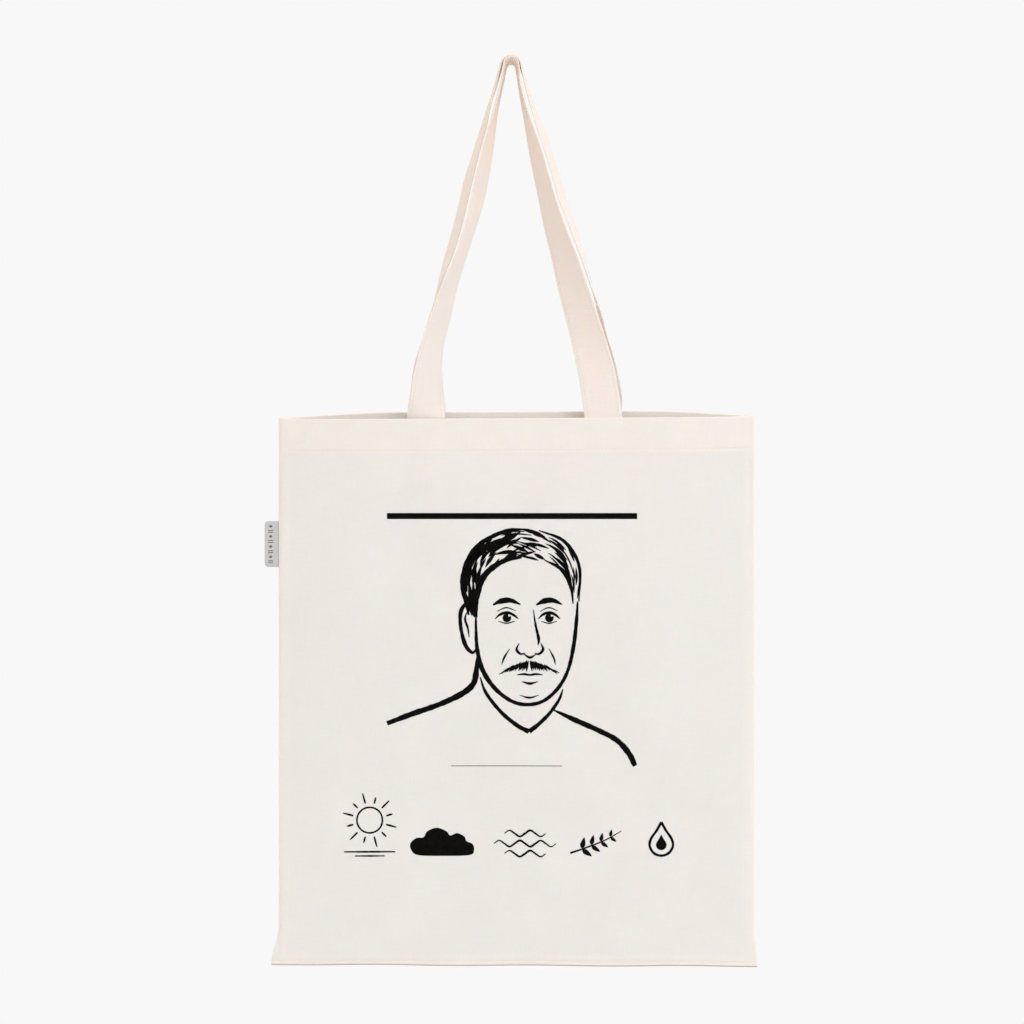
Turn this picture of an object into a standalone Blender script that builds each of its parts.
"""Flat cotton tote bag, hanging from its two straps.

Metres, +Z up. The origin is the point where a hook or a peg carries the straps: the underside of the
front strap at the top of its loop. The front of the bag faces -Y. Both panels bow a little at the mouth,
so each one is three flat facets: a middle that leans out towards the mouth, and a triangle at each side.
"""

from math import cos, pi, radians, sin

import bmesh
import bpy
from mathutils import Matrix, Vector

# Bag
BAG_HEIGHT = 0.406
MOUTH_WIDTH = 0.353
BASE_WIDTH = 0.356
BAG_CENTRE_X = 0.004  # the hook sits a little to one side of the bag's middle
CLOTH = 0.0005
GAP = 0.0003  # between pieces that touch
MOUTH_BELLY = 0.009  # how far each panel bows out at the mouth
MOUTH_FLAT = 0.186  # the stretch of the mouth that stands out by the whole belly
BACK_RISE = 0.0055  # the back panel is pulled up this much more than the front one

# Hems and seams
HEM_DEPTH = 0.025
HEM_STITCH_UP = 0.0015  # from the hem's lower edge to its line of thread
SEAM_ALLOWANCE = 0.008
SEAM_CLOTH = 0.001  # two layers
THREAD_WIDTH = 0.0008
THREAD_HEIGHT = 0.0003

# Straps
STRAP_WIDTH = 0.028
STRAP_CLOTH = 0.0016
STRAP_DROP = 0.264  # from the hook down to the mouth
STRAP_BASES = {-1: 0.063, 1: 0.0685}  # how far the left and the right leg stand from the hook
STRAP_END = 0.021  # the sewn end below the mouth
PEG_RADIUS = 0.0032  # inside the front strap's loop
LOOP_LEAN = 14  # degrees between the legs and the vertical where they meet the loop
NEST_GAP = 0.002  # between the two straps where the back one lies over the front one
DEPTH_CLOSES = 0.6  # share of the drop over which the two straps come together
EDGE_STITCH_IN = 0.0025
TACK_INSET = 0.003
LEG_STEPS = 24
ARC_STEPS = 10

# Each leg from the mouth up: share of the drop, share of the base's distance, and twist in degrees
FRONT_LEFT_LEG = (
    (0.0, 1.0, 0),
    (0.04, 0.998, 20),
    (0.12, 0.978, 43),
    (0.2, 0.928, 54),
    (0.28, 0.836, 59),
    (0.37, 0.727, 67),
    (0.45, 0.605, 74),
    (0.53, 0.497, 74),
    (0.61, 0.408, 71),
    (0.75, 0.288, 74),
    (0.87, 0.185, 86),
)
FRONT_RIGHT_LEG = (
    (0.0, 1.0, 0),
    (0.12, 0.93, 4),
    (0.2, 0.856, 18),
    (0.28, 0.769, 29),
    (0.37, 0.667, 39),
    (0.45, 0.583, 48),
    (0.53, 0.486, 56),
    (0.61, 0.402, 64),
    (0.75, 0.272, 72),
    (0.87, 0.156, 85),
)
BACK_LEFT_LEG = (
    (0.0, 1.0, 0),
    (0.04, 0.975, 10),
    (0.12, 0.965, 40),
    (0.2, 0.975, 70),
    (0.28, 0.94, 88),
    (0.37, 0.842, 96),
    (0.45, 0.73, 102),
    (0.53, 0.63, 101),
    (0.61, 0.552, 99),
    (0.67, 0.497, 99),
    (0.75, 0.408, 96),
    (0.87, 0.262, 95),
)
BACK_RIGHT_LEG = (
    (0.0, 1.0, 0),
    (0.04, 1.007, 6),
    (0.12, 0.968, 28),
    (0.2, 0.963, 62),
    (0.28, 0.965, 86),
    (0.37, 0.865, 93),
    (0.45, 0.757, 93),
    (0.53, 0.65, 95),
    (0.61, 0.547, 98),
    (0.67, 0.482, 98),
    (0.75, 0.385, 96),
    (0.87, 0.23, 97),
)

# Side label
LABEL_OUT = 0.0095
LABEL_HEIGHT = 0.034
LABEL_DOWN = 0.094  # from the mouth to the label's middle
LABEL_CLOTH = 0.0006
LABEL_CLEARANCE = 0.0006  # beside the seam, so that the label can swing

MOUTH_Z = -STRAP_DROP
BASE_Z = MOUTH_Z - BAG_HEIGHT
HALF_SEAM = SEAM_CLOTH / 2

# How deep each layer lies behind the panel's outer face
HEM_IN = CLOTH + GAP
HEM_THREAD_IN = HEM_IN + CLOTH + GAP
STRAP_END_IN = HEM_IN + CLOTH + GAP
TACK_IN = STRAP_END_IN + STRAP_CLOTH + GAP

FRONT = -1
BACK = 1
RISE = {FRONT: 0.0, BACK: BACK_RISE}
NAMES = {FRONT: "front", BACK: "back"}
SIDE_NAMES = {-1: "left", 1: "right"}
LEGS = {
    (FRONT, -1): FRONT_LEFT_LEG,
    (FRONT, 1): FRONT_RIGHT_LEG,
    (BACK, -1): BACK_LEFT_LEG,
    (BACK, 1): BACK_RIGHT_LEG,
}


def clear_scene():
    for old in list(bpy.data.objects):
        bpy.data.objects.remove(old)


def material(name, colour, roughness):
    made = bpy.data.materials.new(name)
    made.use_nodes = True
    shader = made.node_tree.nodes["Principled BSDF"]
    shader.inputs["Base Color"].default_value = (*colour, 1.0)
    shader.inputs["Roughness"].default_value = roughness
    shader.inputs["Metallic"].default_value = 0.0
    return made


def loft(name, rings, finish, closed=False, parent=None):
    """A body through rings of points, capped at both ends, or joined end to end where closed."""
    mesh = bmesh.new()
    loops = [[mesh.verts.new(point) for point in ring] for ring in rings]
    count = len(loops[0])
    followers = loops[1:] + loops[:1] if closed else loops[1:]
    for first, second in zip(loops, followers):
        for i in range(count):
            j = (i + 1) % count
            mesh.faces.new((first[i], first[j], second[j], second[i]))
    if not closed:
        mesh.faces.new(loops[0])
        mesh.faces.new(loops[-1])
    bmesh.ops.remove_doubles(mesh, verts=mesh.verts, dist=1e-6)
    bmesh.ops.recalc_face_normals(mesh, faces=mesh.faces)
    data = bpy.data.meshes.new(name)
    mesh.to_mesh(data)
    mesh.free()
    data.materials.append(finish)
    made = bpy.data.objects.new(name, data)
    bpy.context.collection.objects.link(made)
    if parent:
        data.transform(Matrix.Translation(-parent.location))
        made.parent = parent
    return made


def pivot(name, location):
    made = bpy.data.objects.new(name, None)
    made.location = location
    bpy.context.collection.objects.link(made)
    return made


def smooth_step(share):
    share = min(max(share, 0.0), 1.0)
    return share * share * (3 - 2 * share)


def through(table, column, share):
    """The value at share on a smooth curve through the table's rows."""
    rows = [(row[0], row[column]) for row in table]
    last = len(rows) - 2
    i = max(k for k in range(last + 1) if rows[k][0] <= share or k == 0)
    (start, low), (end, high) = rows[i], rows[i + 1]

    def slope(k):
        before, after = rows[max(k - 1, 0)], rows[min(k + 1, last + 1)]
        return (after[1] - before[1]) / (after[0] - before[0])

    span = end - start
    t = (share - start) / span
    from_low = (1 + 2 * t) * (1 - t) ** 2 * low + t * (1 - t) ** 2 * span * slope(i)
    return from_low + t * t * (3 - 2 * t) * high - t * t * (1 - t) * span * slope(i + 1)


# Panels


def half_width(z):
    up = (z - BASE_Z) / BAG_HEIGHT
    return (BASE_WIDTH + (MOUTH_WIDTH - BASE_WIDTH) * up) / 2


def mouth_z(x, side):
    """The height of a panel's top edge at x, counted from the bag's middle."""
    slope = half_width(MOUTH_Z) - MOUTH_FLAT / 2
    return MOUTH_Z + RISE[side] * min((half_width(MOUTH_Z) - abs(x)) / slope, 1.0)


def bulge(x, z, side):
    """How far the panel stands out at x, counted from the bag's middle, and z."""
    middle = (z - BASE_Z) / (BAG_HEIGHT + RISE[side])
    run = (MOUTH_WIDTH - BASE_WIDTH) / 2

    def off_seam(x_at, z_at):
        return BAG_HEIGHT * (BASE_WIDTH / 2 - x_at) + run * (z_at - BASE_Z)

    corner = off_seam(MOUTH_FLAT / 2, MOUTH_Z + RISE[side])
    return MOUTH_BELLY * min(middle, off_seam(abs(x), z) / corner)


def on_panel(x, z, side, depth):
    """A point that lies depth inside the panel's outer face."""
    out = HALF_SEAM + GAP + CLOTH + bulge(x, z, side) - depth
    return Vector((BAG_CENTRE_X + x, side * out, z))


def rib(low, high, side, depth, thickness):
    """The ring of a layer between two points (x, z) of the panel."""
    ends = [on_panel(*low, side, depth), on_panel(*high, side, depth)]
    inner = [on_panel(*high, side, depth + thickness), on_panel(*low, side, depth + thickness)]
    return ends + inner


def make_panel(side, cloth):
    base = half_width(BASE_Z)
    mouth = half_width(MOUTH_Z)
    fold = MOUTH_FLAT / 2
    ribs = []
    for corner, top in ((-base, -mouth), (-base, -fold), (base, fold), (base, mouth)):
        ribs.append(rib((corner, BASE_Z), (top, mouth_z(top, side)), side, 0.0, CLOTH))
    loft(f"{NAMES[side]}_panel", ribs, cloth)


def fold_x(z, side):
    """Where the crease beside the panel's flat middle runs at height z."""
    up = (z - BASE_Z) / (BAG_HEIGHT + RISE[side])
    return half_width(BASE_Z) + (MOUTH_FLAT / 2 - half_width(BASE_Z)) * up


def band(name, side, down, height, depth, thickness, finish):
    """A strip along the mouth, from down to down + height below the top edge."""
    end = half_width(MOUTH_Z) - SEAM_ALLOWANCE - THREAD_WIDTH - 2 * GAP
    ribs = []
    for sign, crease in ((-1, False), (-1, True), (1, True), (1, False)):
        ends = []
        for below in (down + height, down):
            z = MOUTH_Z + RISE[side] - below
            x = fold_x(z, side) if crease else end
            ends.append((sign * x, z if crease else mouth_z(end, side) - below))
        ribs.append(rib(*ends, side, depth, thickness))
    return loft(name, ribs, finish)


def make_hem(side, cloth, thread):
    name = NAMES[side]
    band(f"{name}_hem", side, 0.0, HEM_DEPTH, HEM_IN, CLOTH, cloth)
    down = HEM_DEPTH - HEM_STITCH_UP - THREAD_WIDTH
    band(f"{name}_hem_thread", side, down, THREAD_WIDTH, HEM_THREAD_IN, THREAD_HEIGHT, thread)


# Seams


def upright_strip(name, sign, from_edge, width, low, high, thickness, finish):
    """A flat strip that follows a side edge, in the plane between the panels."""
    rings = []
    for z in (low, high):
        outer = sign * (half_width(z) - from_edge) + BAG_CENTRE_X
        inner = outer - sign * width
        half = thickness / 2
        rings.append([Vector(p) for p in ((outer, -half, z), (outer, half, z), (inner, half, z), (inner, -half, z))])
    return loft(name, rings, finish)


def make_side_seam(sign, cloth, thread):
    name = SIDE_NAMES[sign]
    low = BASE_Z + SEAM_ALLOWANCE + GAP
    high = MOUTH_Z
    upright_strip(f"{name}_seam", sign, 0.0, SEAM_ALLOWANCE, low, high, SEAM_CLOTH, cloth)
    inner = SEAM_ALLOWANCE + GAP
    upright_strip(f"{name}_seam_thread", sign, inner, THREAD_WIDTH, low, high, THREAD_WIDTH, thread)


def level_strip(name, low, height, half_length, thickness, finish):
    rings = []
    for x in (-half_length, half_length):
        half = thickness / 2
        corners = ((-half, low), (half, low), (half, low + height), (-half, low + height))
        rings.append([Vector((BAG_CENTRE_X + x, y, z)) for y, z in corners])
    return loft(name, rings, finish)


def make_bottom_seam(cloth, thread):
    level_strip("bottom_seam", BASE_Z, SEAM_ALLOWANCE, half_width(BASE_Z + SEAM_ALLOWANCE), SEAM_CLOTH, cloth)
    length = half_width(BASE_Z + SEAM_ALLOWANCE) - SEAM_ALLOWANCE - 2 * GAP - THREAD_WIDTH
    level_strip("bottom_seam_thread", BASE_Z + SEAM_ALLOWANCE + GAP, THREAD_WIDTH, length, THREAD_WIDTH, thread)


# Straps


def strap_base_y(side):
    """The middle of a strap's thickness where it leaves the mouth."""
    out = HALF_SEAM + GAP + CLOTH + MOUTH_BELLY - STRAP_END_IN - STRAP_CLOTH / 2
    return side * out


def arc_radius(side):
    front = PEG_RADIUS + STRAP_CLOTH / 2
    return front if side == FRONT else front + STRAP_CLOTH + NEST_GAP


def leg_table(sign, side):
    """The leg's rows with the last one where it runs into the loop over the peg."""
    lean = radians(LOOP_LEAN)
    end_z = arc_radius(side) * sin(lean) - PEG_RADIUS
    share = 1 + end_z / STRAP_DROP
    spread = arc_radius(side) * cos(lean) / STRAP_BASES[sign]
    return (*LEGS[side, sign], (share, spread, 90))


def leg_place(sign, side, share):
    """The middle of the leg and its twist, at a share of the drop above the mouth."""
    table = leg_table(sign, side)
    x = through(table, 1, share) * STRAP_BASES[sign]
    end = table[-1][0]
    y = strap_base_y(side) * (1 - smooth_step(share / DEPTH_CLOSES))
    start = MOUTH_Z + RISE[side] + GAP
    top = MOUTH_Z + end * STRAP_DROP
    z = start + (top - start) * share / end
    return Vector((sign * x, y, z)), radians(through(table, 2, share))


def strap_places(side):
    """Middle, edge direction and face direction along a strap, from its left base to its right one."""
    places = []
    for sign in (-1, 1):
        end = leg_table(sign, side)[-1][0]
        leg = []
        for step in range(LEG_STEPS + 1):
            middle, twist = leg_place(sign, side, end * step / LEG_STEPS)
            leg.append((middle, Vector((sign * cos(twist), -sin(twist), 0.0))))
        places.append(leg)
    left, right = places
    radius = arc_radius(side)
    half_turn = pi / 2 - radians(LOOP_LEAN)
    arc = []
    for step in range(1, ARC_STEPS):
        angle = half_turn * (2 * step / ARC_STEPS - 1)
        middle = Vector((radius * sin(angle), 0.0, radius * cos(angle) - PEG_RADIUS))
        arc.append((middle, Vector((0.0, -1.0, 0.0))))
    line = left + arc + right[::-1]
    framed = []
    for i, (middle, edge) in enumerate(line):
        along = line[min(i + 1, len(line) - 1)][0] - line[max(i - 1, 0)][0]
        if i in (0, len(line) - 1):
            along.y = 0.0
        framed.append((middle, edge, along.cross(edge).normalized()))
    return framed


def strap_ring(place, columns, off_face, thickness):
    """A section of a strip that lies on the strap: its places across the width, and off the middle plane."""
    middle, edge, face = place
    low = [middle + edge * across + face * off_face for across in columns]
    high = [point + face * thickness for point in low]
    return low + high[::-1]


def make_strap(side, tape, thread, hinge):
    name = f"{NAMES[side]}_handle"
    places = strap_places(side)
    half = STRAP_WIDTH / 2
    inside = half - EDGE_STITCH_IN - THREAD_WIDTH
    outside = half - EDGE_STITCH_IN
    columns = (-half, -outside, -inside, 0.0, inside, outside, half)
    rings = [strap_ring(place, columns, -STRAP_CLOTH / 2, STRAP_CLOTH) for place in places]
    loft(name, rings, tape, parent=hinge)
    face = STRAP_CLOTH / 2 + GAP
    for label, line in (("outer", (inside, outside)), ("inner", (-outside, -inside))):
        rings = [strap_ring(place, line, face, THREAD_HEIGHT) for place in places]
        loft(f"{name}_{label}_thread", rings, thread, parent=hinge)


def base_x(sign, side):
    """The middle of a strap's sewn end, counted from the bag's middle."""
    return leg_place(sign, side, 0.0)[0].x - BAG_CENTRE_X


def make_strap_end(sign, side, tape, thread):
    """The end of a strap below the mouth, and the box of stitches that holds it to the hem."""
    middle = base_x(sign, side)
    high = MOUTH_Z + RISE[side]
    low = high - STRAP_END
    half = STRAP_WIDTH / 2
    name = f"{NAMES[side]}_{SIDE_NAMES[sign]}_strap_end"
    ribs = [rib((x, low), (x, high), side, STRAP_END_IN, STRAP_CLOTH) for x in (middle - half, middle + half)]
    loft(name, ribs, tape)
    box = []
    for u, v in ((-1, -1), (1, -1), (1, 1), (-1, 1)):
        ring = []
        for inset, deep in ((0.0, 0.0), (THREAD_WIDTH, 0.0), (THREAD_WIDTH, 1.0), (0.0, 1.0)):
            x = middle + u * (half - TACK_INSET - inset)
            z = (low + high) / 2 + v * (STRAP_END / 2 - TACK_INSET - inset)
            ring.append(on_panel(x, z, side, TACK_IN + deep * THREAD_HEIGHT))
        box.append(ring)
    loft(f"{name}_thread", box, thread, closed=True)


# Label


def make_label(woven):
    """A folded label caught in the left seam, which stands out past the bag's edge."""
    middle = MOUTH_Z - LABEL_DOWN
    edge = BAG_CENTRE_X - half_width(middle - LABEL_HEIGHT / 2) - LABEL_CLEARANCE
    hinge = pivot("label_hinge", (edge, 0.0, middle))
    half = LABEL_CLOTH / 2
    rings = []
    for x in (edge, edge - LABEL_OUT):
        corners = ((-half, -1), (half, -1), (half, 1), (-half, 1))
        rings.append([Vector((x, y, middle + v * LABEL_HEIGHT / 2)) for y, v in corners])
    loft("side_label", rings, woven, parent=hinge)


def main():
    clear_scene()
    cloth = material("cotton_cloth", (0.86, 0.815, 0.76), 0.9)
    tape = material("cotton_strap", (0.86, 0.81, 0.75), 0.9)
    thread = material("cotton_thread", (0.87, 0.83, 0.77), 0.75)
    woven = material("woven_label", (0.72, 0.71, 0.7), 0.7)
    for side in (FRONT, BACK):
        make_panel(side, cloth)
        make_hem(side, cloth, thread)
        out = HALF_SEAM + GAP + CLOTH + MOUTH_BELLY
        hinge = pivot(f"{NAMES[side]}_handle_hinge", (0.0, side * out, MOUTH_Z + RISE[side]))
        make_strap(side, tape, thread, hinge)
        for sign in (-1, 1):
            make_strap_end(sign, side, tape, thread)
    for sign in (-1, 1):
        make_side_seam(sign, cloth, thread)
    make_bottom_seam(cloth, thread)
    make_label(woven)


main()
